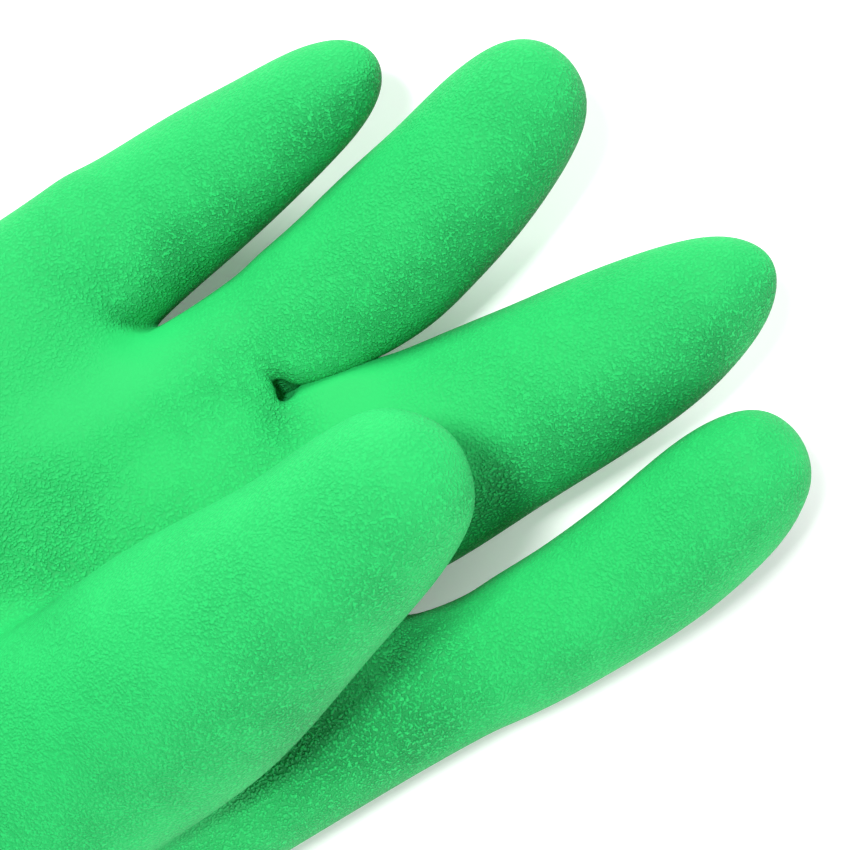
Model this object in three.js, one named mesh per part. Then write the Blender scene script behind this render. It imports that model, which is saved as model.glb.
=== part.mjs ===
// A right-hand dishwashing glove dip-moulded in one piece of nitrile rubber, lying on its back with
// the palm up, its fingers gently curled and its thumb standing over the palm.
//
// Millimetres. +Z is up (out of the palm), +Y runs from the cuff to the fingertips and +X is the
// thumb side. The origin is on the surface that the glove lies on, under the middle of the glove.
//
// The skin is one coarse cage of quads, whose points lie on the real surface: rings round the
// sleeve, eight-point rings round each digit, and three webs between the fingers. Catmull-Clark
// subdivision rounds the cage, and the same quads moved in by the wall make the inside.

import * as THREE from 'three';

// Driving dimensions
const GLOVE_LENGTH = 330;
const WALL = 1.2;
const PALM_DEPTH = 34;
const WRIST_WIDTH = 98;
const WRIST_DEPTH = 40;
const WRIST_LIFT = 7;
const CUFF_WIDTH = 106;
const CUFF_DEPTH = 62;
const KNUCKLE_ARC = 10; // from the little finger's knuckle forward to the middle finger's
const WEB_DEPTH = 19;

const LITTLE_LENGTH = 49;
const LITTLE_WIDTH = 21.5;
const LITTLE_DEPTH = 20.5;
const LITTLE_ROOT = 26;

const RING_LENGTH = 67;
const RING_WIDTH = 25.5;
const RING_DEPTH = 22.5;
const RING_ROOT = 17.2;

const MIDDLE_LENGTH = 73;
const MIDDLE_WIDTH = 30;
const MIDDLE_DEPTH = 24.5;
const MIDDLE_ROOT = 36.6;

const INDEX_LENGTH = 63.5;
const INDEX_WIDTH = 22.5;
const INDEX_DEPTH = 22.5;
const INDEX_ROOT = 20.8;

const THUMB_LENGTH = 80;
const THUMB_WIDTH = 28.5;
const THUMB_DEPTH = 27;

// Between two fingers lies a web. forward is a share of the knuckles' arc, setBack says how far the
// web's two edges lie behind its middle, as a share of its depth, and aside how far the web lies
// towards the thumb from the middle of the gap, as a share of the finger's root before it.
const LITTLE_RING_WEB = { width: 1.4, forward: -0.62, setBack: 0.24, aside: 0 };
const RING_MIDDLE_WEB = { width: 1, forward: 0.56, setBack: 0.14, aside: 0.06 };
const MIDDLE_INDEX_WEB = { width: 2.8, forward: 0.22, setBack: 0.2, aside: 0 };

// The knuckles are as wide as the four finger roots and the three webs between them.
const PALM_WIDTH =
  LITTLE_ROOT + LITTLE_RING_WEB.width + RING_ROOT + RING_MIDDLE_WEB.width +
  MIDDLE_ROOT + MIDDLE_INDEX_WEB.width + INDEX_ROOT;

// The fingers from the little one to the index. rootForward is a share of the knuckles' arc, and
// rootLift of the palm's depth. Each row is a ring of the finger, from its web to its tip: along,
// across and lift say where its middle lies, as shares of the finger's length, and width and depth
// are shares of its own.
const FINGERS = [
  {
    length: LITTLE_LENGTH, width: LITTLE_WIDTH, depth: LITTLE_DEPTH, root: LITTLE_ROOT,
    web: LITTLE_RING_WEB, rootForward: -0.6, rootLift: 0.43,
    rings: [
      { along: 0.13, across: -0.01, lift: 0.005, width: 1.165, depth: 1.05 },
      { along: 0.29, across: -0.018, lift: 0.04, width: 1.09, depth: 1.03 },
      { along: 0.45, across: -0.0245, lift: 0.09, width: 1.01, depth: 1.0 },
      { along: 0.61, across: -0.0285, lift: 0.155, width: 0.9, depth: 0.93 },
      { along: 0.775, across: -0.035, lift: 0.235, width: 0.77, depth: 0.81 },
      { along: 0.88, across: -0.037, lift: 0.29, width: 0.62, depth: 0.66 },
      { along: 0.955, across: -0.037, lift: 0.33, width: 0.4, depth: 0.42 },
    ],
    tip: { across: -0.037, lift: 0.35 },
  },
  {
    length: RING_LENGTH, width: RING_WIDTH, depth: RING_DEPTH, root: RING_ROOT,
    web: RING_MIDDLE_WEB, rootForward: -0.1, rootLift: 0.46,
    rings: [
      { along: 0.1, across: 0.002, lift: 0.003, width: 0.745, depth: 1.02 },
      { along: 0.19, across: 0.004, lift: 0.02, width: 0.82, depth: 1.0 },
      { along: 0.31, across: 0.009, lift: 0.05, width: 0.93, depth: 1.0 },
      { along: 0.43, across: 0.002, lift: 0.088, width: 1.0, depth: 1.0 },
      { along: 0.55, across: -0.02, lift: 0.13, width: 0.99, depth: 0.99 },
      { along: 0.67, across: -0.046, lift: 0.178, width: 0.95, depth: 0.96 },
      { along: 0.785, across: -0.08, lift: 0.23, width: 0.89, depth: 0.9 },
      { along: 0.88, across: -0.107, lift: 0.276, width: 0.78, depth: 0.79 },
      { along: 0.955, across: -0.124, lift: 0.315, width: 0.56, depth: 0.58 },
    ],
    tip: { across: -0.13, lift: 0.345 },
  },
  {
    length: MIDDLE_LENGTH, width: MIDDLE_WIDTH, depth: MIDDLE_DEPTH, root: MIDDLE_ROOT,
    web: MIDDLE_INDEX_WEB, rootForward: 0.3, rootLift: 0.5,
    rings: [
      { along: 0.068, across: -0.003, lift: 0.002, width: 1.165, depth: 1.04 },
      { along: 0.14, across: 0.006, lift: 0.012, width: 1.12, depth: 1.03 },
      { along: 0.24, across: 0.019, lift: 0.03, width: 1.06, depth: 1.02 },
      { along: 0.367, across: 0.027, lift: 0.06, width: 1.0, depth: 1.0 },
      { along: 0.503, across: 0.038, lift: 0.1, width: 0.937, depth: 0.98 },
      { along: 0.64, across: 0.046, lift: 0.148, width: 0.873, depth: 0.94 },
      { along: 0.762, across: 0.05, lift: 0.197, width: 0.777, depth: 0.86 },
      { along: 0.863, across: 0.048, lift: 0.243, width: 0.63, depth: 0.71 },
      { along: 0.945, across: 0.046, lift: 0.286, width: 0.41, depth: 0.46 },
    ],
    tip: { across: 0.046, lift: 0.31 },
  },
  {
    length: INDEX_LENGTH, width: INDEX_WIDTH, depth: INDEX_DEPTH, root: INDEX_ROOT,
    web: null, rootForward: 0.2, rootLift: 0.485,
    rings: [
      { along: 0.11, across: 0.017, lift: 0.008, width: 0.925, depth: 1.03 },
      { along: 0.22, across: 0.0236, lift: 0.028, width: 0.947, depth: 1.02 },
      { along: 0.346, across: 0.025, lift: 0.06, width: 0.96, depth: 1.0 },
      { along: 0.472, across: 0.0205, lift: 0.098, width: 0.982, depth: 1.0 },
      { along: 0.6, across: 0.0085, lift: 0.143, width: 1.0, depth: 1.0 },
      { along: 0.724, across: -0.014, lift: 0.198, width: 0.99, depth: 0.97 },
      { along: 0.827, across: -0.037, lift: 0.247, width: 0.93, depth: 0.9 },
      { along: 0.907, across: -0.057, lift: 0.288, width: 0.78, depth: 0.77 },
      { along: 0.965, across: -0.068, lift: 0.315, width: 0.54, depth: 0.54 },
    ],
    tip: { across: -0.072, lift: 0.333 },
  },
];

// The thumb, in the same words. across and lift place its root on the palm, as shares of the palm's
// width and depth. lean turns a ring back towards the palm that it grows from, in degrees.
const THUMB = {
  length: THUMB_LENGTH, width: THUMB_WIDTH, depth: THUMB_DEPTH,
  root: { across: 0.2, lift: 0.85 },
  rings: [
    { along: 0.221, across: -0.008, lift: 0.17, width: 1.35, depth: 1.36, lean: 29 },
    { along: 0.399, across: -0.024, lift: 0.276, width: 1.3, depth: 1.22, lean: 18 },
    { along: 0.552, across: -0.042, lift: 0.36, width: 1.15, depth: 1.09, lean: 11 },
    { along: 0.69, across: -0.061, lift: 0.424, width: 1.0, depth: 0.98, lean: 4 },
    { along: 0.805, across: -0.083, lift: 0.475, width: 0.91, depth: 0.88 },
    { along: 0.89, across: -0.103, lift: 0.513, width: 0.79, depth: 0.77 },
    { along: 0.95, across: -0.12, lift: 0.538, width: 0.58, depth: 0.56 },
  ],
  tip: { across: -0.132, lift: 0.553 },
};

// The sleeve's rings from the rim to the knuckles. along is a share of the way from the knuckles to
// the rim; palm, wrist and cuff say how much of each named width and depth the ring takes; lift is
// a share of the wrist's height over the surface; knuckles says how far the ring already has the
// knuckles' own form; hollow is the share of the palm's depth by which its middle sinks; gather is
// the share of the palm's width by which the points beside the thumb are drawn to the palm's middle.
const SLEEVE_RINGS = [
  { along: 1.0, palm: 0, wrist: 0, cuff: 1, lift: 0, knuckles: 0, hollow: 0, gather: 0 },
  { along: 0.92, palm: 0, wrist: 0.06, cuff: 0.94, lift: 0.1, knuckles: 0, hollow: 0, gather: 0 },
  { along: 0.81, palm: 0, wrist: 0.22, cuff: 0.78, lift: 0.3, knuckles: 0, hollow: 0, gather: 0 },
  { along: 0.67, palm: 0, wrist: 0.52, cuff: 0.48, lift: 0.65, knuckles: 0, hollow: 0, gather: 0 },
  { along: 0.54, palm: 0, wrist: 0.84, cuff: 0.16, lift: 0.95, knuckles: 0, hollow: 0, gather: 0 },
  { along: 0.43, palm: 0.06, wrist: 0.94, cuff: 0, lift: 1.0, knuckles: 0, hollow: 0, gather: 0.01 },
  { along: 0.33, palm: 0.36, wrist: 0.64, cuff: 0, lift: 0.7, knuckles: 0, hollow: 0.02, gather: 0.05 },
  { along: 0.225, palm: 0.64, wrist: 0.36, cuff: 0, lift: 0.3, knuckles: 0.05, hollow: 0.06, gather: 0.1 },
  { along: 0.12, palm: 0.78, wrist: 0.22, cuff: 0, lift: 0.08, knuckles: 0.2, hollow: 0.09, gather: 0.1 },
  { along: 0.045, palm: 0.86, wrist: 0.14, cuff: 0, lift: 0, knuckles: 0.5, hollow: 0.08, gather: 0.04 },
];
const GATHER_AT = 0.21; // where the drawing is strongest, as a share of the sleeve's half width
const GATHER_REACH = 0.29; // and how far it reaches to either side
const FIRST_HOLE_RING_INDEX = 6; // the hole for the thumb lies between this ring and the second after it
const FIRST_HOLE_COLUMN_INDEX = 5; // and between this column of the sleeve's points and the second after it

const SQUARENESS = 2.5; // exponent of the sleeve's rounded section, 2 for an ellipse
const SIDE_CORNER = 0.93; // where the sleeve's outer corners lie, as a share of its half width
const ROOT_CORNER = 0.86; // and the outer corners of the little and the index finger's roots
const ROOT_CORNER_DEPTH = 0.34; // how far those corners lie from the middle, a share of the depth
const ROOT_SWELL = 1.08; // depth of a finger at its knuckle, as a share of its own
const INTERPOLATION_ROUNDS = 3;
const RIM_TOLERANCE = 1e-3;
const UP = new THREE.Vector3(0, 0, 1);

// The cage's layout: the columns of the sleeve's points over the palm side, as many over the back,
// and one at either side; and the points round a digit, from the corner at this angle in degrees
const PALM_COLUMNS = 2 * FINGERS.length + 1;
const THUMB_SIDE = PALM_COLUMNS;
const LITTLE_SIDE = 2 * PALM_COLUMNS + 1;
const DIGIT_POINT_COUNT = 8;
const FIRST_ANGLE = 135;

// Cage: points on the surface, and quads that look outwards
class Cage {
  constructor() {
    this.points = [];
    this.quads = [];
  }

  point(x, y, z) {
    this.points.push(new THREE.Vector3(x, y, z));
    return this.points.length - 1;
  }

  bridge(near, far) {
    near.forEach((_, i) => {
      const next = (i + 1) % near.length;
      this.quads.push([near[i], near[next], far[next], far[i]]);
    });
  }
}

const blend = (row, palm, wrist, cuff) => row.palm * palm + row.wrist * wrist + row.cuff * cuff;

// Height of the sleeve's rounded section at a share of its half width, from 0 to 1
const roundedSection = (share) => (1 - Math.abs(share) ** SQUARENESS) ** (1 / SQUARENESS);

// Finger roots, laid side by side across the knuckles
function placeRoots() {
  let left = -PALM_WIDTH / 2;
  return FINGERS.map((finger) => {
    const right = left + finger.root;
    const placed = {
      ...finger, left, right, x: (left + right) / 2,
      y: finger.rootForward * KNUCKLE_ARC, z: finger.rootLift * PALM_DEPTH,
    };
    left = right + (finger.web ? finger.web.width : 0);
    return placed;
  });
}

// The points at the knuckles: nine over the palm side, one at the thumb side, nine over the back,
// one at the little finger's side. The webs' middle points come with them.
function knucklePoints(roots) {
  const corner = (root, side) => {
    const x = root.x + (side * ROOT_CORNER * root.root) / 2;
    const reach = ROOT_CORNER_DEPTH * root.depth;
    return { above: [x, root.y, root.z + reach], below: [x, root.y, root.z - reach] };
  };
  const middle = (root) => {
    const reach = (ROOT_SWELL * root.depth) / 2;
    return { above: [root.x, root.y, root.z + reach], below: [root.x, root.y, root.z - reach] };
  };
  const webMiddles = roots.slice(0, -1).map((root, i) => [
    root.right + root.web.width / 2 + root.web.aside * root.root,
    root.web.forward * KNUCKLE_ARC,
    (root.z + roots[i + 1].z) / 2,
  ]);
  const webEdge = (i) => {
    const [x, middleY, z] = webMiddles[i];
    const y = middleY - roots[i].web.setBack * WEB_DEPTH;
    return { above: [x, y, z + WEB_DEPTH / 2], below: [x, y, z - WEB_DEPTH / 2] };
  };
  const last = roots[roots.length - 1];
  const columns = [
    corner(roots[0], -1),
    ...roots.flatMap((root, i) => (i === 0 ? [middle(root)] : [webEdge(i - 1), middle(root)])),
    corner(last, 1),
  ];
  const ring = [
    ...columns.map((column) => column.above), [last.right, last.y, last.z],
    ...columns.map((column) => column.below).reverse(), [roots[0].left, roots[0].y, roots[0].z],
  ];
  return { ring: ring.map((p) => new THREE.Vector3(...p)), webs: webMiddles };
}

// One ring of the sleeve, with its points in the knuckles' order and as far across as theirs
function sleeveRing(cage, row, y, knuckles) {
  const halfWidth = blend(row, PALM_WIDTH, WRIST_WIDTH, CUFF_WIDTH) / 2;
  const halfDepth = blend(row, PALM_DEPTH, WRIST_DEPTH, CUFF_DEPTH) / 2;
  const middle = row.lift * WRIST_LIFT + halfDepth;
  return knuckles.map((knuckle, column) => {
    const above = column < PALM_COLUMNS;
    const atSide = column === THUMB_SIDE || column === LITTLE_SIDE;
    const atCorner = [0, THUMB_SIDE - 1, THUMB_SIDE + 1, LITTLE_SIDE - 1].includes(column);
    let share = knuckle.x / (PALM_WIDTH / 2);
    if (atCorner) share = Math.sign(share) * SIDE_CORNER;
    const sink = above ? row.hollow * PALM_DEPTH * Math.cos((share * Math.PI) / 2) ** 2 : 0;
    const height = atSide ? 0 : roundedSection(share) * halfDepth * (above ? 1 : -1);
    const nearThumb = above ? Math.exp(-(((share - GATHER_AT) / GATHER_REACH) ** 2)) : 0;
    const x = share * halfWidth - row.gather * PALM_WIDTH * nearThumb;
    const plain = new THREE.Vector3(x, y, middle + height - sink);
    const shaped = knuckle.clone().setY(knuckle.y + y);
    plain.lerp(shaped, row.knuckles);
    return cage.point(plain.x, plain.y, plain.z);
  });
}

// The eight points that a finger starts from, from its palm side round by the thumb side
function fingerLoop(ring, webs, i) {
  const palm = 2 * i;
  const back = LITTLE_SIDE - 1 - palm;
  return [
    ring[palm], ring[palm + 1], ring[palm + 2],
    i < FINGERS.length - 1 ? webs[i] : ring[THUMB_SIDE],
    ring[back - 2], ring[back - 1], ring[back],
    i > 0 ? webs[i - 1] : ring[LITTLE_SIDE],
  ];
}

// Grows a digit from its loop: an ellipse of eight points at each of its rings, then its tip
function growDigit(cage, loop, digit, root) {
  const at = (row) => new THREE.Vector3(
    root.x + row.across * digit.length,
    root.y + row.along * digit.length,
    root.z + row.lift * digit.length,
  );
  const tip = at({ along: 1, ...digit.tip });
  const line = [new THREE.Vector3(root.x, root.y, root.z), ...digit.rings.map(at), tip];
  let near = loop;
  digit.rings.forEach((row, i) => {
    const forward = line[i + 2].clone().sub(line[i]).normalize();
    const side = new THREE.Vector3().crossVectors(forward, UP).normalize();
    forward.applyAxisAngle(side, THREE.MathUtils.degToRad(row.lean ?? 0));
    const up = new THREE.Vector3().crossVectors(side, forward);
    const ring = loop.map((_, k) => {
      const angle = THREE.MathUtils.degToRad(FIRST_ANGLE - (360 * k) / DIGIT_POINT_COUNT);
      const p = line[i + 1].clone()
        .addScaledVector(side, (Math.cos(angle) * row.width * digit.width) / 2)
        .addScaledVector(up, (Math.sin(angle) * row.depth * digit.depth) / 2);
      return cage.point(p.x, p.y, p.z);
    });
    cage.bridge(near, ring);
    near = ring;
  });
  const cap = cage.point(tip.x, tip.y, tip.z);
  for (let k = 1; k < DIGIT_POINT_COUNT; k += 2) {
    cage.quads.push([near[k], near[k + 1] ?? near[0], near[(k + 2) % DIGIT_POINT_COUNT], cap]);
  }
}

// The whole cage
function buildCage() {
  const cage = new Cage();
  const roots = placeRoots();
  const { ring: knuckles, webs } = knucklePoints(roots);
  const rimY = roots[2].y + MIDDLE_LENGTH - GLOVE_LENGTH;
  const rings = SLEEVE_RINGS.map((row) => sleeveRing(cage, row, row.along * rimY, knuckles));
  const knuckleRing = knuckles.map((p) => cage.point(p.x, p.y, p.z));
  const webPoints = webs.map((p) => cage.point(...p));
  rings.push(knuckleRing);

  const isHole = (ring, column) =>
    ring >= FIRST_HOLE_RING_INDEX && ring < FIRST_HOLE_RING_INDEX + 2 &&
    column >= FIRST_HOLE_COLUMN_INDEX && column < FIRST_HOLE_COLUMN_INDEX + 2;
  for (let r = 0; r + 1 < rings.length; r += 1) {
    rings[r].forEach((_, c) => {
      if (isHole(r, c)) return;
      const next = (c + 1) % rings[r].length;
      cage.quads.push([rings[r][c], rings[r][next], rings[r + 1][next], rings[r + 1][c]]);
    });
  }

  roots.forEach((root, i) => {
    growDigit(cage, fingerLoop(knuckleRing, webPoints, i), root, root);
  });

  const [r0, r1, r2] = [0, 1, 2].map((k) => rings[FIRST_HOLE_RING_INDEX + k]);
  const c = FIRST_HOLE_COLUMN_INDEX;
  const thumbLoop = [r0[c], r0[c + 1], r0[c + 2], r1[c + 2], r2[c + 2], r2[c + 1], r2[c], r1[c]];
  growDigit(cage, thumbLoop, THUMB, {
    x: THUMB.root.across * PALM_WIDTH,
    y: SLEEVE_RINGS[FIRST_HOLE_RING_INDEX + 1].along * rimY,
    z: THUMB.root.lift * PALM_DEPTH,
  });
  return dropUnused(cage);
}

// Leaves out the points that no quad uses, such as the one in the thumb's hole
function dropUnused(cage) {
  const used = [...new Set(cage.quads.flat())].sort((a, b) => a - b);
  const place = new Map(used.map((old, i) => [old, i]));
  return {
    points: used.map((i) => cage.points[i]),
    quads: cage.quads.map((quad) => quad.map((i) => place.get(i))),
  };
}

// Catmull-Clark subdivision
function neighbours(mesh) {
  const edges = new Map();
  const around = mesh.points.map(() => ({ edges: new Set(), quads: [], corners: [] }));
  mesh.quads.forEach((quad, f) => {
    quad.forEach((a, k) => {
      const b = quad[(k + 1) % 4];
      const key = a < b ? `${a}_${b}` : `${b}_${a}`;
      if (!edges.has(key)) edges.set(key, { a, b, quads: [] });
      edges.get(key).quads.push(f);
      around[a].edges.add(key);
      around[b].edges.add(key);
      around[a].quads.push(f);
      around[a].corners.push(quad[(k + 2) % 4]);
    });
  });
  return { edges, around };
}

const sum = (vectors) => vectors.reduce((total, v) => total.add(v), new THREE.Vector3());

// Where a point of the mesh ends up on the smooth surface
function limitPoints(mesh, { edges, around }) {
  return mesh.points.map((p, i) => {
    const keys = [...around[i].edges];
    const open = keys.filter((key) => edges.get(key).quads.length === 1);
    const other = (key) => mesh.points[edges.get(key).a === i ? edges.get(key).b : edges.get(key).a];
    if (open.length === 2) {
      return sum(open.map(other)).addScaledVector(p, 4).divideScalar(6);
    }
    const n = keys.length;
    return sum(keys.map(other)).multiplyScalar(4)
      .add(sum(around[i].corners.map((k) => mesh.points[k])))
      .addScaledVector(p, n * n)
      .divideScalar(n * (n + 5));
  });
}

// Moves the cage's points out until the smooth surface passes through where they were
function passThrough(cage) {
  const links = neighbours(cage);
  const points = cage.points.map((p) => p.clone());
  for (let round = 0; round < INTERPOLATION_ROUNDS; round += 1) {
    const limit = limitPoints({ points }, links);
    points.forEach((p, i) => p.add(cage.points[i]).sub(limit[i]));
  }
  return { points, quads: cage.quads };
}

function subdivide(mesh) {
  const { edges, around } = neighbours(mesh);
  const facePoints = mesh.quads.map((quad) => sum(quad.map((i) => mesh.points[i])).divideScalar(4));
  const middles = new Map([...edges].map(([key, { a, b }]) => [
    key, mesh.points[a].clone().add(mesh.points[b]).divideScalar(2),
  ]));
  const moved = mesh.points.map((p, i) => {
    const keys = [...around[i].edges];
    const open = keys.filter((key) => edges.get(key).quads.length === 1);
    if (open.length === 2) {
      return sum(open.map((key) => middles.get(key))).addScaledVector(p, 2).divideScalar(4);
    }
    const n = keys.length;
    const faces = sum(around[i].quads.map((f) => facePoints[f])).divideScalar(n);
    const lines = sum(keys.map((key) => middles.get(key))).divideScalar(n);
    return faces.addScaledVector(lines, 2).addScaledVector(p, n - 3).divideScalar(n);
  });
  const points = [...moved, ...facePoints];
  const edgeIndex = new Map();
  edges.forEach(({ quads }, key) => {
    const middle = middles.get(key);
    const p = quads.length === 2
      ? sum(quads.map((f) => facePoints[f])).addScaledVector(middle, 2).divideScalar(4)
      : middle.clone();
    edgeIndex.set(key, points.push(p) - 1);
  });
  const between = (a, b) => edgeIndex.get(a < b ? `${a}_${b}` : `${b}_${a}`);
  const quads = mesh.quads.flatMap((quad, f) => quad.map((v, k) => [
    v, between(v, quad[(k + 1) % 4]), moved.length + f, between(v, quad[(k + 3) % 4]),
  ]));
  return { points, quads };
}

// Shell: the skin, the same skin moved in by the wall, and the flat cut rim between them
function vertexNormals(points, quads) {
  const normals = points.map(() => new THREE.Vector3());
  quads.forEach((quad) => {
    const [a, b, c, d] = quad.map((i) => points[i]);
    const normal = new THREE.Vector3().crossVectors(c.clone().sub(a), d.clone().sub(b));
    quad.forEach((i) => normals[i].add(normal));
  });
  return normals.map((n) => n.normalize());
}

function shellGeometry(points, quads) {
  const rim = Math.min(...points.map((p) => p.y));
  const onRim = points.map((p) => p.y < rim + RIM_TOLERANCE);
  const normals = vertexNormals(points, quads).map((n, i) => (onRim[i] ? n.setY(0).normalize() : n));
  const inside = points.map((p, i) => p.clone().addScaledVector(normals[i], -WALL));
  const count = points.length;
  const faces = [];
  quads.forEach((quad) => {
    const inner = quad.map((i) => i + count).reverse();
    faces.push([quad[0], quad[1], quad[2]], [quad[0], quad[2], quad[3]]);
    faces.push([inner[0], inner[1], inner[3]], [inner[1], inner[2], inner[3]]);
    quad.forEach((a, k) => {
      const b = quad[(k + 1) % 4];
      if (!onRim[a] || !onRim[b]) return;
      faces.push([b, a, a + count], [b, a + count, b + count]);
    });
  });
  const geometry = new THREE.BufferGeometry().setFromPoints([...points, ...inside]);
  geometry.setIndex(faces.flat());
  geometry.computeVertexNormals();
  return geometry;
}

const smooth = subdivide(passThrough(buildCage()));
const skin = limitPoints(smooth, neighbours(smooth));

const nitrile = new THREE.MeshStandardMaterial({ color: 0x3fd877, roughness: 0.62, metalness: 0 });
const glove = new THREE.Mesh(shellGeometry(skin, smooth.quads), nitrile);
glove.name = 'glove';

// The origin goes under the middle of the glove, on the surface that it lies on.
const bounds = new THREE.Box3().setFromObject(glove);
const centre = bounds.getCenter(new THREE.Vector3());
glove.position.set(-centre.x, -centre.y, -bounds.min.z);

const part = new THREE.Group();
part.add(glove);

export default part;
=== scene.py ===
# %% [markdown]
# # A nitrile dishwashing glove
# The real glove is one skin of green rubber, dipped on a ceramic hand and pulled off. This lesson
# rebuilds it: the skin is grown as a coarse cage from short tables, rounded by Catmull-Clark
# subdivision in numpy, given the small forms that a soft glove has, and finished as dipped nitrile
# with its sandy bisque grain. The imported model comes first, because it says where everything goes.

import math

import bpy
import numpy as np
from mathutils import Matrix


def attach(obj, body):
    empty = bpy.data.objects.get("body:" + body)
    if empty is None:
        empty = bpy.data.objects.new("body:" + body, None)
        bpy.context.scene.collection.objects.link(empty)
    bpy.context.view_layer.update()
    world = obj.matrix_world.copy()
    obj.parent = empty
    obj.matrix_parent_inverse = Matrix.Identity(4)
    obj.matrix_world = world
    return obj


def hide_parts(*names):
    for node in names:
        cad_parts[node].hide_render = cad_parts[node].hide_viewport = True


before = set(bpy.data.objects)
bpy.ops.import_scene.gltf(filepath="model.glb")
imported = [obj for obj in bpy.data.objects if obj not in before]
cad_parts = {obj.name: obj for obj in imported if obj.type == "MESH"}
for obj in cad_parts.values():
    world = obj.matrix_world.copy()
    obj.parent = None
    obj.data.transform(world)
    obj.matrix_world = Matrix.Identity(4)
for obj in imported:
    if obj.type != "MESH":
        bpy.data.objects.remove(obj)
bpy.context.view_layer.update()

# %% [markdown]
# ## Sizes
# A glove's shape could be sculpted, scanned or drawn as curves. Here it is a table of rings, because
# a glove maker thinks in rings too: the girth of each finger at each joint. Every ring is a share of
# its finger's own length, width and depth, so a longer finger needs one new number. Everything is in
# millimetres until the mesh is made: x towards the thumb, y towards the fingertips, z out of the palm.

# %% Driving sizes
MM = 0.001
LENGTH = 330
WALL = 1.2
PALM_DEPTH = 34
WRIST_WIDTH, WRIST_DEPTH, WRIST_LIFT = 98, 40, 7
CUFF_WIDTH, CUFF_DEPTH = 106, 62
KNUCKLE_ARC = 10  # from the little finger's knuckle forward to the middle finger's
WEB_DEPTH = 19

# Each finger: length, width, depth, width of its root, and how far forward and how high that root
# lies (shares of the knuckles' arc and the palm's depth). Rings: along, across, lift, width, depth.
LITTLE = {
    "length": 49, "width": 21.5, "depth": 20.5, "root": 26, "forward": -0.6, "lift": 0.43,
    "rings": [
        (0.13, -0.01, 0.005, 1.165, 1.05), (0.29, -0.018, 0.04, 1.09, 1.03),
        (0.45, -0.0245, 0.09, 1.01, 1.0), (0.61, -0.0285, 0.155, 0.9, 0.93),
        (0.775, -0.035, 0.235, 0.77, 0.81), (0.88, -0.037, 0.29, 0.62, 0.66),
        (0.955, -0.037, 0.33, 0.4, 0.42),
    ],
    "tip": (-0.037, 0.35),
}
RING = {
    "length": 67, "width": 25.5, "depth": 22.5, "root": 17.2, "forward": -0.1, "lift": 0.46,
    "rings": [
        (0.1, 0.002, 0.003, 0.745, 1.02), (0.19, 0.004, 0.02, 0.82, 1.0), (0.31, 0.009, 0.05, 0.93, 1.0),
        (0.43, 0.002, 0.088, 1.0, 1.0), (0.55, -0.02, 0.13, 0.99, 0.99), (0.67, -0.046, 0.178, 0.95, 0.96),
        (0.785, -0.08, 0.23, 0.89, 0.9), (0.88, -0.107, 0.276, 0.78, 0.79),
        (0.955, -0.124, 0.315, 0.56, 0.58),
    ],
    "tip": (-0.13, 0.345),
}
MIDDLE = {
    "length": 73, "width": 30, "depth": 24.5, "root": 36.6, "forward": 0.3, "lift": 0.5,
    "rings": [
        (0.068, -0.003, 0.002, 1.165, 1.04), (0.14, 0.006, 0.012, 1.12, 1.03),
        (0.24, 0.019, 0.03, 1.06, 1.02), (0.367, 0.027, 0.06, 1.0, 1.0),
        (0.503, 0.038, 0.1, 0.937, 0.98), (0.64, 0.046, 0.148, 0.873, 0.94),
        (0.762, 0.05, 0.197, 0.777, 0.86), (0.863, 0.048, 0.243, 0.63, 0.71),
        (0.945, 0.046, 0.286, 0.41, 0.46),
    ],
    "tip": (0.046, 0.31),
}
INDEX = {
    "length": 63.5, "width": 22.5, "depth": 22.5, "root": 20.8, "forward": 0.2, "lift": 0.485,
    "rings": [
        (0.11, 0.017, 0.008, 0.925, 1.03), (0.22, 0.0236, 0.028, 0.947, 1.02),
        (0.346, 0.025, 0.06, 0.96, 1.0), (0.472, 0.0205, 0.098, 0.982, 1.0),
        (0.6, 0.0085, 0.143, 1.0, 1.0), (0.724, -0.014, 0.198, 0.99, 0.97),
        (0.827, -0.037, 0.247, 0.93, 0.9), (0.907, -0.057, 0.288, 0.78, 0.77),
        (0.965, -0.068, 0.315, 0.54, 0.54),
    ],
    "tip": (-0.072, 0.333),
}
FINGERS = [LITTLE, RING, MIDDLE, INDEX]

# The thumb's root is placed on the palm by shares of the palm's width and depth. Its lean turns its
# first rings back towards the palm, in degrees.
THUMB = {
    "length": 80, "width": 28.5, "depth": 27, "across": 0.2, "lift": 0.85,
    "rings": [
        (0.221, -0.008, 0.17, 1.35, 1.36), (0.399, -0.024, 0.276, 1.3, 1.22),
        (0.552, -0.042, 0.36, 1.15, 1.09), (0.69, -0.061, 0.424, 1.0, 0.98),
        (0.805, -0.083, 0.475, 0.91, 0.88), (0.89, -0.103, 0.513, 0.79, 0.77),
        (0.95, -0.12, 0.538, 0.58, 0.56),
    ],
    "lean": [29, 18, 11, 4, 0, 0, 0],
    "tip": (-0.132, 0.553),
}

# The webs between the fingers: width, forward (a share of the knuckles' arc), how far the web's two
# edges lie behind its middle (a share of its depth), and how far it lies towards the thumb from the
# middle of the gap (a share of the finger's root before it)
WEBS = np.array([(1.4, -0.62, 0.24, 0), (1.0, 0.56, 0.14, 0.06), (2.8, 0.22, 0.2, 0)])

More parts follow.
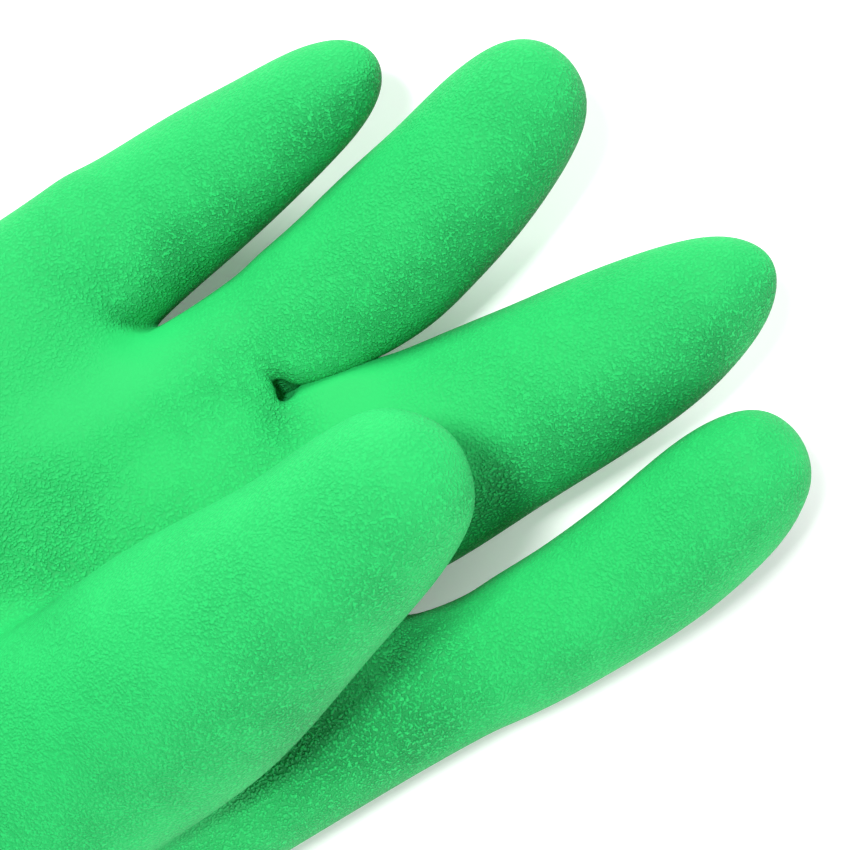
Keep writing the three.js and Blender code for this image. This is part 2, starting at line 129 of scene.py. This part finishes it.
# The sleeve's rings from the rim to the knuckles: along; the shares of the palm's, the wrist's and
# the cuff's size; lift; how far the ring has the knuckles' form; how hollow the palm is; and how far
# the points beside the thumb are gathered to the palm's middle
SLEEVE = np.array([
    (1.0, 0, 0, 1, 0, 0, 0, 0),
    (0.92, 0, 0.06, 0.94, 0.1, 0, 0, 0),
    (0.81, 0, 0.22, 0.78, 0.3, 0, 0, 0),
    (0.67, 0, 0.52, 0.48, 0.65, 0, 0, 0),
    (0.54, 0, 0.84, 0.16, 0.95, 0, 0, 0),
    (0.43, 0.06, 0.94, 0, 1.0, 0, 0, 0.01),
    (0.33, 0.36, 0.64, 0, 0.7, 0, 0.02, 0.05),
    (0.225, 0.64, 0.36, 0, 0.3, 0.05, 0.06, 0.1),
    (0.12, 0.78, 0.22, 0, 0.08, 0.2, 0.09, 0.1),
    (0.045, 0.86, 0.14, 0, 0, 0.5, 0.08, 0.04),
])
PALM_WIDTH = sum(finger["root"] for finger in FINGERS) + WEBS[:, 0].sum()
print("palm width, mm:", round(float(PALM_WIDTH), 1))

# %% [markdown]
# ## Knuckles and webs
# Where the hand becomes fingers, one ring of twenty points has to serve the sleeve behind it and
# four fingers in front of it. Nine points lie over the palm side, nine over the back, one at either
# side. Between two fingers, one more point floats inside: the middle of the web, which both share.
# This is the oldest trick for branching shapes, and it leaves nothing to weld.

# %% The knuckles' ring
COLUMNS = 2 * len(FINGERS) + 1
THUMB_SIDE, LITTLE_SIDE = COLUMNS, 2 * COLUMNS + 1
ROOT_CORNER, ROOT_CORNER_DEPTH, ROOT_SWELL = 0.86, 0.34, 1.08


def column(key):
    """One size of the four fingers, from the little finger to the index, as an array."""
    return np.array([finger[key] for finger in FINGERS], float)


def knuckles():
    """The twenty points at the knuckles, the three web middles and the four root middles.

    A root's middle is half its width to the right of all that lies left of it. Its palm and back
    points lie half the swollen depth above and below. A web's two edges lie half the web's depth
    above and below its middle, and the share of that depth in WEBS behind it.
    """
    root = column("root")
    gap = np.append(WEBS[:, 0], 0)
    right = np.cumsum(root + gap) - gap - PALM_WIDTH / 2
    middle = np.stack([
        right - root / 2,
        column("forward") * KNUCKLE_ARC,
        column("lift") * PALM_DEPTH,
    ], 1)
    web = np.stack([
        right[:-1] + gap[:-1] / 2 + WEBS[:, 3] * root[:-1],
        WEBS[:, 1] * KNUCKLE_ARC,
        (middle[1:, 2] + middle[:-1, 2]) / 2,
    ], 1)
    depth = column("depth")
    sides = np.zeros((2, COLUMNS, 3))
    for row, sign in enumerate((1, -1)):
        sides[row, 1::2] = middle + np.outer(sign * ROOT_SWELL * depth / 2, (0, 0, 1))
        half_web = (0, 0, sign * WEB_DEPTH / 2)
        sides[row, 2:-1:2] = web - np.outer(WEBS[:, 2] * WEB_DEPTH, (0, 1, 0)) + half_web
        for end, outward in ((0, -1), (-1, 1)):
            out = (outward * ROOT_CORNER * root[end] / 2, 0, sign * ROOT_CORNER_DEPTH * depth[end])
            sides[row, end] = middle[end] + out
    thumb_side = [(right[-1], *middle[-1, 1:])]
    little_side = [(-PALM_WIDTH / 2, *middle[0, 1:])]
    return np.vstack([sides[0], thumb_side, sides[1][::-1], little_side]), web, middle


knuckle_ring, web_points, root_points = knuckles()
print("knuckle ring:", knuckle_ring.shape, "webs:", web_points.shape)

# %% [markdown]
# ## The sleeve
# From the knuckles back to the rim the glove is a tube whose section changes: squarish over the
# palm, rounder at the wrist, wide and nearly round at the gauntlet. A superellipse does all three
# with one exponent. Each ring keeps its points at the knuckles' shares of the width, so the lines
# between rings run straight down the glove, and near the knuckles the ring melts into their form.

# %% Sleeve rings
SQUARENESS = 2.5
SIDE_CORNER = 0.93
GATHER_AT, GATHER_REACH = 0.21, 0.29
RIM_Y = root_points[FINGERS.index(MIDDLE), 1] + MIDDLE["length"] - LENGTH


def sleeve_rings():
    """The sleeve's points, rings by columns by xyz.

    x is the column's share of the half width; z is the ring's middle plus the superellipse's height
    (1 - |share|^n)^(1/n) times the half depth, less the palm's hollow, a squared cosine across.
    """
    along, palm, wrist, cuff, lift, formed, hollow, gather = SLEEVE.T[:, :, None]
    half_width = (palm * PALM_WIDTH + wrist * WRIST_WIDTH + cuff * CUFF_WIDTH) / 2
    half_depth = (palm * PALM_DEPTH + wrist * WRIST_DEPTH + cuff * CUFF_DEPTH) / 2
    share = knuckle_ring[:, 0] / (PALM_WIDTH / 2)
    corners = [0, THUMB_SIDE - 1, THUMB_SIDE + 1, LITTLE_SIDE - 1]
    share[corners] = np.sign(share[corners]) * SIDE_CORNER
    share[[THUMB_SIDE, LITTLE_SIDE]] = (1, -1)
    over = np.arange(len(share)) < COLUMNS
    height = (1 - np.abs(share) ** SQUARENESS) ** (1 / SQUARENESS) * np.where(over, 1, -1)
    sink = hollow * PALM_DEPTH * np.cos(share * np.pi / 2) ** 2 * over
    beside_thumb = np.exp(-(((share - GATHER_AT) / GATHER_REACH) ** 2)) * over
    x = share * half_width - gather * PALM_WIDTH * beside_thumb
    z = lift * WRIST_LIFT + half_depth + height * half_depth - sink
    plain = np.stack([x, np.broadcast_to(along * RIM_Y, x.shape), z], 2)
    shaped = knuckle_ring + along[:, :, None] * (0, RIM_Y, 0)
    return plain + (shaped - plain) * formed[:, :, None]


sleeve = sleeve_rings()
print("sleeve:", sleeve.shape[0], "rings of", sleeve.shape[1])

# %% [markdown]
# ## The digits
# A finger is eight points carried along a curved line and scaled at each step, closed by one point
# at the tip. Each ring stands square to the line, which is the line's own neighbours subtracted, so a
# curl needs no angles. The thumb grows out of a hole that is left in the palm, two quads by two.

# %% Digit rings
DIGIT_POINTS = 8
FIRST_ANGLE = 135
UP = np.array([0.0, 0.0, 1.0])


def unit(vectors):
    """Each vector divided by its own length."""
    return vectors / np.linalg.norm(vectors, axis=-1, keepdims=True)


def digit_rings(digit, root):
    """The digit's ring points (rings, 8, 3) and its tip.

    A ring is an ellipse, cos(angle) of half its width to the side and sin(angle) of half its depth
    up, round the line's point. Forward is the next point less the last one, turned back by lean.
    """
    along, across, lift, width, depth = np.array(digit["rings"]).T
    tip = root + np.array([digit["tip"][0], 1, digit["tip"][1]]) * digit["length"]
    middles = root + np.stack([across, along, lift], 1) * digit["length"]
    line = np.vstack([root, middles, tip])
    forward = unit(line[2:] - line[:-2])
    side = unit(np.cross(forward, UP))
    lean = np.radians(digit.get("lean", np.zeros(len(along))))[:, None]
    forward = forward * np.cos(lean) + np.cross(side, forward) * np.sin(lean)
    up = np.cross(side, forward)
    angle = np.radians(FIRST_ANGLE - 360 / DIGIT_POINTS * np.arange(DIGIT_POINTS))
    out = np.cos(angle)[None, :, None] * side[:, None] * (width * digit["width"] / 2)[:, None, None]
    rise = np.sin(angle)[None, :, None] * up[:, None] * (depth * digit["depth"] / 2)[:, None, None]
    return middles[:, None] + out + rise, tip


print("index finger:", digit_rings(INDEX, root_points[-1])[0].shape)

# %% [markdown]
# ## One cage
# Now the pieces of the table become one mesh: the rings are joined to the next ring quad by quad,
# each finger starts from eight points of the knuckles' ring and the webs, and the thumb from the
# rim of its hole. numpy's roll joins a ring's last point to its first without a special case.

# %% The cage
HOLE_RING, HOLE_COLUMN = 6, 5


def bridge(loops):
    """Quads between consecutive loops of point numbers: this point, its neighbour, theirs ahead."""
    near, far = loops[:-1], loops[1:]
    return np.stack([near, np.roll(near, -1, 1), np.roll(far, -1, 1), far], 2)


def build_cage():
    """All points of the cage and its quads, the unused middle of the thumb's hole left out."""
    points = [sleeve.reshape(-1, 3), knuckle_ring, web_points]
    rings = np.arange(sleeve.shape[0] * sleeve.shape[1] + len(knuckle_ring)).reshape(-1, len(knuckle_ring))
    webs = rings.size + np.arange(len(WEBS))
    count = rings.size + len(WEBS)
    grid = bridge(rings)
    keep = np.ones(grid.shape[:2], bool)
    keep[HOLE_RING:HOLE_RING + 2, HOLE_COLUMN:HOLE_COLUMN + 2] = False
    quads = [grid[keep]]

    last = rings[-1]
    between = [last[LITTLE_SIDE], *webs, last[THUMB_SIDE]]
    loops = []
    for i in range(len(FINGERS)):
        back = LITTLE_SIDE - 1 - 2 * i
        palm_side, back_side = last[2 * i:2 * i + 3], last[back - 2:back + 1]
        loops.append([*palm_side, between[i + 1], *back_side, between[i]])
    r, c = HOLE_RING, HOLE_COLUMN
    loops.append([*rings[r, c:c + 3], rings[r + 1, c + 2], *rings[r + 2, c:c + 3][::-1], rings[r + 1, c]])
    thumb_root = np.array([
        THUMB["across"] * PALM_WIDTH, SLEEVE[HOLE_RING + 1, 0] * RIM_Y, THUMB["lift"] * PALM_DEPTH,
    ])
    for digit, root, loop in zip([*FINGERS, THUMB], [*root_points, thumb_root], loops):
        grown, tip = digit_rings(digit, root)
        numbers = count + np.arange(grown.shape[0] * DIGIT_POINTS).reshape(-1, DIGIT_POINTS)
        points += [grown.reshape(-1, 3), tip[None]]
        count += numbers.size + 1
        quads.append(bridge(np.vstack([loop, numbers])).reshape(-1, 4))
        end = np.append(numbers[-1], numbers[-1, 0])
        quads.append(np.stack([end[1:-1:2], end[2::2], np.roll(end[1:-1:2], -1), np.full(4, count - 1)], 1))
    used, quads = np.unique(np.vstack(quads), return_inverse=True)
    return np.vstack(points)[used], quads.reshape(-1, 4)


cage_points, cage_quads = build_cage()
print("cage:", len(cage_points), "points,", len(cage_quads), "quads")

# %% [markdown]
# ## Rounding the cage
# Blender's own Subdivision Surface would do this, but a glove's cage is easier to table when the
# skin passes through its points, and the modifier pulls the skin inside them. So the same
# Catmull-Clark rule is written out here: three short sums over faces and edges, for all the points at
# once. np.add.at does each sum, and the closed rim of the cuff keeps to the rule for open edges.

# %% Catmull-Clark in numpy


def links(quads):
    """The edges (pairs of point numbers), each quad side's edge, and which edges are open."""
    ends = np.stack([quads, np.roll(quads, -1, 1)], 2).reshape(-1, 2)
    edges, which = np.unique(np.sort(ends, 1), axis=0, return_inverse=True)
    which = which.reshape(-1)
    return edges, which.reshape(quads.shape), np.bincount(which) == 1


def summed(count, targets, values):
    """Adds each value to the row of its target."""
    total = np.zeros((count, values.shape[1]))
    np.add.at(total, targets, values)
    return total


def limit(points, quads):
    """Where each point lies on the smooth surface.

    Inside: (n n P + 4 E + C) / (n (n + 5)), with n edges, E the sum of the edges' other ends and C
    the sum of the quads' far corners. On the open rim: (4 P + its two neighbours there) / 6.
    """
    edges, _, is_open = links(quads)
    count = len(points)
    n = np.bincount(edges.ravel(), minlength=count)[:, None]
    ends = summed(count, edges.ravel(), points[edges[:, ::-1].ravel()])
    far = summed(count, quads.ravel(), points[np.roll(quads, 2, 1).ravel()])
    inside = (n * n * points + 4 * ends + far) / (n * (n + 5))
    rim = edges[is_open]
    rim_ends = summed(count, rim.ravel(), points[rim[:, ::-1].ravel()])
    on_rim = np.bincount(rim.ravel(), minlength=count)[:, None] > 0
    return np.where(on_rim, (4 * points + rim_ends) / 6, inside)


def subdivide(points, quads):
    """One round: a point in each quad's middle, one by each edge, and each old point moved.

    Edge point: (2 middle + both face points) / 4. Old point: (F + 2 R + (n - 3) P) / n, with F and R
    the means of its faces' points and its edges' middles. On the rim: middles, and (2 P + both) / 4.
    """
    edges, sides, is_open = links(quads)
    count = len(points)
    n = np.bincount(edges.ravel(), minlength=count)[:, None]
    faces = points[quads].mean(1)
    middles = points[edges].mean(1)
    by_edge = summed(len(edges), sides.ravel(), np.repeat(faces, 4, 0))
    edge_points = np.where(is_open[:, None], middles, (2 * middles + by_edge) / 4)
    around = summed(count, quads.ravel(), np.repeat(faces, 4, 0)) / n
    lines = summed(count, edges.ravel(), np.repeat(middles, 2, 0)) / n
    moved = (around + 2 * lines + (n - 3) * points) / n
    rim = edges[is_open]
    rim_lines = summed(count, rim.ravel(), np.repeat(middles[is_open], 2, 0))
    on_rim = np.bincount(rim.ravel(), minlength=count)[:, None] > 0
    moved = np.where(on_rim, (2 * points + rim_lines) / 4, moved)
    face_number = count + np.arange(len(quads))[:, None] + np.zeros((1, 4), int)
    edge_number = count + len(quads) + sides
    split = np.stack([quads, edge_number, face_number, np.roll(edge_number, 1, 1)], 2)
    return np.vstack([moved, faces, edge_points]), split.reshape(-1, 4)


PASS_ROUNDS = 3
LEVELS = 3
skin = cage_points.copy()
for _ in range(PASS_ROUNDS):
    skin += cage_points - limit(skin, cage_quads)
quads = cage_quads
for _ in range(LEVELS):
    skin, quads = subdivide(skin, quads)
skin = limit(skin, quads)
print("skin:", len(skin), "points,", len(quads), "quads")

# %% [markdown]
# ## Small forms
# A soft rubber skin isn't as even as its former. The ring and the middle finger just touch, and
# behind that line their shoulders leave a pinched hole. A shallow valley runs from it into the palm,
# and the web by the little finger is tucked in. Each is a hill or a dent with an oval, bell-shaped
# foot, moved along the skin's own normals, so it follows whatever the skin does there.

# %% Dents and hills
PALM, TO_THUMB, TO_LITTLE = (0, 0, 1), (1, 0, 0), (-1, 0, 0)
UP_TO_THUMB, UP_TO_LITTLE = (0.7, 0, 0.7), (-0.7, 0, 0.7)

# The middle of each form, the half lengths of its foot (along, across, up), its turn in degrees from
# x, its height in mm, and the side of the skin that it is on
FORMS = [
    ("fingers touch, ring side", (-6.3, 9.5, 14.5), (10.5, 2.5, 4.5), 79, 0.5, TO_THUMB),
    ("fingers touch, middle side", (-6.3, 9.5, 14.5), (10.5, 2.5, 4.5), 79, 0.4, TO_LITTLE),
    ("ring shoulder", (-8.4, 11.0, 23.5), (9.5, 3.4, 3.6), 75, 2.1, UP_TO_THUMB),
    ("middle shoulder", (-4.4, 11.0, 23.0), (9.5, 3.0, 3.6), 75, 1.8, UP_TO_LITTLE),
    ("hole, ring side", (-8.2, 4.9, 22.0), (1.8, 2.4, 4.5), 66, -2.0, TO_THUMB),
    ("hole, middle side", (-7.0, 4.9, 22.0), (1.8, 2.4, 4.5), 66, -2.0, TO_LITTLE),
    ("valley under the hole", (-3.4, 2.6, 26.5), (5.0, 2.2, 6.0), 33, -1.7, PALM),
    ("dimple", (-11.0, -3.0, 26.0), (3.4, 2.4, 9.0), 20, -0.5, PALM),
    ("tuck by the little finger", (-28.0, -8.6, 24.0), (3.6, 1.2, 9.0), 52, -1.3, PALM),
]


def normals_of(points, quads):
    """Point normals: the sum of the crossed diagonals of the quads around a point, made unit."""
    a, b, c, d = (points[quads[:, k]] for k in range(4))
    crossed = np.cross(c - a, d - b)
    return unit(summed(len(points), quads.ravel(), np.repeat(crossed, 4, 0)))


def apply_form(points, normals, middle, foot, turn, height, side):
    """Height times exp(-(u/a)^2 - (v/b)^2 - (w/c)^2), along the normal, where the skin looks to side.

    The mask for that is twice the normal's share along side, held between 0 and 1.
    """
    turn = math.radians(turn)
    dx, dy, dz = (points - middle).T
    u = dx * math.cos(turn) + dy * math.sin(turn)
    v = dy * math.cos(turn) - dx * math.sin(turn)
    bell = np.exp(-((u / foot[0]) ** 2) - (v / foot[1]) ** 2 - (dz / foot[2]) ** 2)
    return normals * (height * bell * np.clip(2 * normals @ side, 0, 1))[:, None]


skin_normals = normals_of(skin, quads)
skin = skin + sum(apply_form(skin, skin_normals, *form) for _, *form in FORMS)
print("forms:", ", ".join(name for name, *_ in FORMS))

# %% [markdown]
# ## From skin to shell
# The glove has to be hollow, with a real edge at the cuff. Solidify could do it; the same points
# moved in by the wall do it too, and the quads between the two rims make the cut edge exactly flat.
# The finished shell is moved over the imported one: same middle in x and y, same lowest point.

# %% The glove's mesh
RIM_TOLERANCE = 1e-3


def shell(points, quads):
    """Outer points, inner points a wall further in, the inner quads turned round, and the rim."""
    on_rim = points[:, 1] < points[:, 1].min() + RIM_TOLERANCE
    normals = normals_of(points, quads)
    normals[on_rim] = unit(normals[on_rim] * (1, 0, 1))
    inner = quads[:, ::-1] + len(points)
    edges, sides, is_open = links(quads)
    open_side = is_open[sides]
    start, end = quads[open_side], np.roll(quads, -1, 1)[open_side]
    rim = np.stack([end, start, start + len(points), end + len(points)], 1)
    return np.vstack([points, points - WALL * normals]), np.vstack([quads, inner, rim])


def make_piece(name, points, faces):
    """A mesh object at the origin, its points in metres, its faces smooth."""
    mesh = bpy.data.meshes.new(name)
    mesh.vertices.add(len(points))
    mesh.vertices.foreach_set("co", points.astype(np.float32).ravel())
    mesh.loops.add(faces.size)
    mesh.loops.foreach_set("vertex_index", faces.astype(np.int32).ravel())
    mesh.polygons.add(len(faces))
    mesh.polygons.foreach_set("loop_start", np.arange(0, faces.size, 4, dtype=np.int32))
    mesh.polygons.foreach_set("use_smooth", np.ones(len(faces), bool))
    mesh.update(calc_edges=True)
    mesh.validate()
    piece = bpy.data.objects.new(name, mesh)
    bpy.context.scene.collection.objects.link(piece)
    return piece


shell_points, shell_faces = shell(skin, quads)
low, high = shell_points.min(0), shell_points.max(0)
to_frame = -np.array([(low[0] + high[0]) / 2, (low[1] + high[1]) / 2, low[2]])
glove = make_piece("rubber_glove", (shell_points + to_frame) * MM, shell_faces)
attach(glove, "root")
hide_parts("glove")
print("glove:", len(shell_faces) * 2, "triangles, moved by", to_frame.round(3), "mm")

# %% [markdown]
# ## Where the grain and its painted shade are strong
# The grain comes from the ceramic former. It is made stronger on the fingers' sides towards the thumb,
# which lie in shade, and in spots where shade falls, and there the material paints its hollows darker as
# painted shade; it is softer where the skin is stretched into the webs. One number for each point, kept as
# an attribute, lets the material know.

# %% Grain and painted shade attribute
PLAIN_GRAIN, GRAIN_LIMITS = 0.8, (0.1, 2.8)
# Sides that look to the thumb lie in shade: the grain there is stronger, and so is the painted shade in its
# hollows.
SHADED_SIDE_GRAIN, SIDE_POWER = 0.5, 1.5  # more grain on sides that look to the thumb
LOOK_GAIN, LOOK_START = 1.2, 0.35  # from a normal's x to how far it looks to the thumb
NEIGHBOUR_X, THUMB_Z, FADE_MM = 34, 52, 8  # the index finger begins, the thumb begins, both fade
ON_THUMB = 0.3  # the least share of a spot, which the thumb above it keeps
SLEEVE_Y, RIM_FADE = -60, 0.45  # from here to the rim the grain fades by this share
# Spots that add grain also add painted shade: at the index finger's base under the thumb, on the middle
# finger, in the valley below the pinched hole and in the palm's hollow beside the thumb. Spots that take
# grain away soften it in the webs, over the palm and on the middle finger.
GRAIN_AND_SHADE_SPOTS = np.array([  # x, y, reach in mm, and what is added to the grain there
    (web_points[0, 0], web_points[0, 1] - 2, 6.0, -0.8),
    (web_points[1, 0] + 4, web_points[1, 1] + 8, 9.0, -0.8),
    (web_points[2, 0], web_points[2, 1] - 3, 5.0, -0.9),
    (-15.0, -18.0, 14.0, -0.6),
    (-30.0, -28.0, 12.0, -0.4),
    (12.0, 20.0, 9.0, -0.5),
    (-3.4, 2.6, 4.0, 0.9),
    (-2.0, -34.0, 8.0, 0.7),
    (22.0, 24.0, 8.0, 0.6),
    (36.0, -13.0, 15.0, 2.4),
    (33.0, -1.0, 8.0, 1.2),
])


def grain_and_painted_shade(points, normals):
    """The plain grain, plus more on sides that look to the thumb, plus a bell at each spot; the sides and
    the spots that add lie where shade falls, so the painted shade in the grain's hollows grows there too.

    A side's share is (SHADED_SIDE_GRAIN, and 1 more where a neighbour stands nearer the thumb) times how
    far the normal looks to the thumb, to the power SIDE_POWER. A bell is added exp(-(d / reach)^2).
    """
    x, y, z = points.T
    below_thumb = (THUMB_Z - z) / FADE_MM
    to_thumb_in_shade = np.clip(LOOK_GAIN * normals[:, 0] + LOOK_START, 0, 1)
    neighbour_shades = np.clip((NEIGHBOUR_X - x) / FADE_MM, 0, 1) * np.clip(below_thumb, 0, 1)
    grain_and_shade = PLAIN_GRAIN + (SHADED_SIDE_GRAIN + neighbour_shades) * to_thumb_in_shade ** SIDE_POWER
    for spot_x, spot_y, reach, added in GRAIN_AND_SHADE_SPOTS:
        distance = np.hypot(x - spot_x, y - spot_y)
        bell = np.exp(-(distance / reach) ** 2)
        grain_and_shade = grain_and_shade + added * np.clip(below_thumb, ON_THUMB, 1) * bell
    to_rim = np.clip((y - SLEEVE_Y) / (RIM_Y - SLEEVE_Y), 0, 1)
    return np.clip(grain_and_shade, *GRAIN_LIMITS) * (1 - RIM_FADE * to_rim)


# The attribute keeps the name grain, but it also sets how much painted shade the material puts in the
# grain's hollows.
grain = glove.data.attributes.new("grain", "FLOAT", "POINT")
outer, inner = np.split(shell_points, 2)
grain_and_shade = grain_and_painted_shade(shell_points, np.tile(unit(outer - inner), (2, 1)))
grain.data.foreach_set("value", grain_and_shade.astype(np.float32))
print("grain from", round(float(grain_and_shade.min()), 2), "to", round(float(grain_and_shade.max()), 2))

# %% [markdown]
# ## Dipped nitrile
# Nitrile rubber is a carboxylated butadiene latex with pigment in it, and this one is dipped on a
# sand-blasted former, so the outside comes out with a bisque grain: rounded bumps the size of sugar,
# run together into short worms. It is matt, with a soft sheen. Rubber's IOR is about 1.52.
# The bumps are noise pulled about by itself, with soft cells mixed in, about 0.4 mm across, and the hollows
# between them are painted a darker green as painted shade, because less light gets out of them.

# %% Helpers for materials


def linear(code):
    """An sRGB hex colour as linear red, green, blue and alpha."""
    channels = [int(code[i:i + 2], 16) / 255 for i in (1, 3, 5)]
    return (*[c / 12.92 if c <= 0.04045 else ((c + 0.055) / 1.055) ** 2.4 for c in channels], 1.0)


def add_node(tree, kind, inputs=None, **settings):
    """Adds a node. inputs maps a socket to a value, or to an output socket that it is linked from."""
    node = tree.nodes.new(kind)
    for key, value in settings.items():
        setattr(node, key, value)
    for key, value in (inputs or {}).items():
        if isinstance(value, bpy.types.NodeSocket):
            tree.links.new(value, node.inputs[key])
        else:
            node.inputs[key].default_value = value
    return node


# %% Dipped nitrile
PER_MM = 1000  # the patterns are drawn in millimetres
GRAIN_MM = 0.42
PATCH_MM = 11  # the grain comes and goes over patches of this size
GRAIN_HEIGHT = 0.18 * MM
GREEN = linear("#2AC468")
# The grain's hollows get painted shade: their green is darkened, the deepest hollow down to this share.
DEEPEST, HOLLOW_PAINTED_SHADE = 2.6, 0.55  # the deepest hollow, in grain heights, and how dark it is
NITRILE_IOR = 1.52


def dipped_nitrile():
    """Rubber with its colour, a worm-and-cell grain in its bump, and painted shade that darkens the grain's
    hollows.
    """
    material = bpy.data.materials.new("dipped_nitrile")
    material.use_nodes = True
    tree = material.node_tree
    surface = tree.nodes["Principled BSDF"]
    where = add_node(tree, "ShaderNodeTexCoord").outputs["Object"]
    mm = add_node(tree, "ShaderNodeMapping", {"Vector": where, "Scale": (PER_MM,) * 3}).outputs[0]

    worms = add_node(tree, "ShaderNodeTexNoise", {
        "Vector": mm, "Scale": 1 / GRAIN_MM, "Detail": 1.5, "Roughness": 0.5, "Distortion": 0.8,
    }).outputs[0]
    cells = add_node(tree, "ShaderNodeTexVoronoi", {
        "Vector": mm, "Scale": 0.9 / GRAIN_MM, "Smoothness": 0.6,
    }, feature="SMOOTH_F1").outputs["Distance"]
    bumps = add_node(tree, "ShaderNodeMath", {0: worms, 1: cells}, operation="SUBTRACT").outputs[0]
    crisp = add_node(tree, "ShaderNodeMapRange", {
        0: bumps, "From Min": -0.25, "From Max": 0.32,
    }, interpolation_type="SMOOTHSTEP").outputs[0]

    patches = add_node(tree, "ShaderNodeTexNoise", {
        "Vector": mm, "Scale": 1 / PATCH_MM, "Detail": 3.0, "Roughness": 0.6,
    }).outputs[0]
    patchy = add_node(tree, "ShaderNodeMapRange", {
        0: patches, "From Min": 0.3, "From Max": 0.7, "To Min": 0.65, "To Max": 1.2,
    }).outputs[0]
    grain_and_shade = add_node(tree, "ShaderNodeAttribute", attribute_name="grain").outputs["Fac"]
    amount = add_node(tree, "ShaderNodeMath", {0: patchy, 1: grain_and_shade}, operation="MULTIPLY").outputs[0]
    height = add_node(tree, "ShaderNodeMath", {0: crisp, 1: amount}, operation="MULTIPLY").outputs[0]
    bump = add_node(tree, "ShaderNodeBump", {"Height": height, "Distance": GRAIN_HEIGHT, "Strength": 1.0})
    tree.links.new(bump.outputs[0], surface.inputs["Normal"])

    # Painted shade: the base colour is darkened in the grain's hollows, more where the grain attribute is
    # strong.
    depth = add_node(tree, "ShaderNodeMath", {0: amount, 1: height}, operation="SUBTRACT").outputs[0]
    hollow = add_node(tree, "ShaderNodeMapRange", {
        0: depth, "From Min": 0.0, "From Max": DEEPEST, "To Min": 1.0, "To Max": HOLLOW_PAINTED_SHADE,
    }).outputs[0]
    colour = add_node(tree, "ShaderNodeMixRGB", {0: 1.0, 1: GREEN, 2: hollow}, blend_type="MULTIPLY")
    tree.links.new(colour.outputs[0], surface.inputs["Base Color"])
    surface.inputs["Roughness"].default_value = 0.6
    surface.inputs["Diffuse Roughness"].default_value = 0.5
    surface.inputs["Specular IOR Level"].default_value = 0.15
    surface.inputs["IOR"].default_value = NITRILE_IOR
    return material


glove.data.materials.append(dipped_nitrile())
print("material:", glove.data.materials[0].name, len(glove.data.materials[0].node_tree.nodes), "nodes")

# %% [markdown]
# ## Floor, light and camera
# A product photographer would lay the glove on a white sweep in a bright room, with three soft
# boxes: a small one overhead, a large one from the little finger's side, so that a soft shadow falls
# towards the thumb, and a low one from the thumb's side to fill it. The camera looks straight down
# from half a metre, turned so that the fingers point up and to the right.

# %% Floor
FLOOR_SIDE = 6.0
FLOOR_GLOW = 0.15  # an overexposed sweep is a little brighter than white paint could be


def pale_floor():
    """A square on z = 0, in a matt white that glows a little."""
    corners = np.array([(-1, -1, 0), (1, -1, 0), (1, 1, 0), (-1, 1, 0)]) * FLOOR_SIDE / 2
    floor = make_piece("floor", corners, np.array([(0, 1, 2, 3)]))
    material = bpy.data.materials.new("white_sweep")
    material.use_nodes = True
    surface = material.node_tree.nodes["Principled BSDF"]
    surface.inputs["Base Color"].default_value = linear("#F8F8F8")
    surface.inputs["Roughness"].default_value = 0.9
    surface.inputs["Emission Color"].default_value = linear("#FFEEFF")
    surface.inputs["Emission Strength"].default_value = FLOOR_GLOW
    floor.data.materials.append(material)
    return floor


pale_floor()

# %% Lights
# Each box: azimuth from +X and elevation in degrees, distance and side in metres, and watts
SOFT_BOXES = {
    "overhead": (193, 82, 1.2, 0.13, 11),
    "little_finger_side": (160, 36, 1.3, 0.5, 12),
    "thumb_side": (15, 16, 1.3, 0.6, 12),
}
ROOM_LIGHT = 0.3


def soft_box(name, azimuth, elevation, distance, size, power):
    """An area light at distance times (cos a cos e, sin a cos e, sin e), turned to the origin."""
    light = bpy.data.lights.new(name, "AREA")
    light.shape, light.size, light.energy = "SQUARE", size, power
    box = bpy.data.objects.new(name, light)
    a, e = math.radians(azimuth), math.radians(elevation)
    direction = (math.cos(a) * math.cos(e), math.sin(a) * math.cos(e), math.sin(e))
    box.location = [distance * v for v in direction]
    box.rotation_euler = (math.pi / 2 - e, 0, a + math.pi / 2)
    bpy.context.scene.collection.objects.link(box)


for name, settings in SOFT_BOXES.items():
    soft_box(name, *settings)
world = bpy.data.worlds.new("studio")
world.use_nodes = True
world.node_tree.nodes["Background"].inputs["Color"].default_value = (1, 1, 1, 1)
world.node_tree.nodes["Background"].inputs["Strength"].default_value = ROOM_LIGHT
bpy.context.scene.world = world
bpy.context.scene.view_settings.view_transform = "Standard"
print("lights:", ", ".join(SOFT_BOXES))

# %% Camera
SENSOR_MM, LENS_MM = 36, 125.8
CAMERA_MM = (7.36, 109.5, 470)
CAMERA_TURN = 58  # degrees about the line of sight
NEAR_CLIP = 10 * MM
camera = bpy.data.objects.new("camera", bpy.data.cameras.new("camera"))
camera.data.sensor_width = SENSOR_MM
camera.data.lens = LENS_MM
camera.location = [v * MM for v in CAMERA_MM]
camera.rotation_euler = (0, 0, math.radians(CAMERA_TURN))
camera.data.clip_start = NEAR_CLIP
bpy.context.scene.collection.objects.link(camera)
bpy.context.scene.camera = camera
print("camera at", tuple(round(v, 4) for v in camera.location))
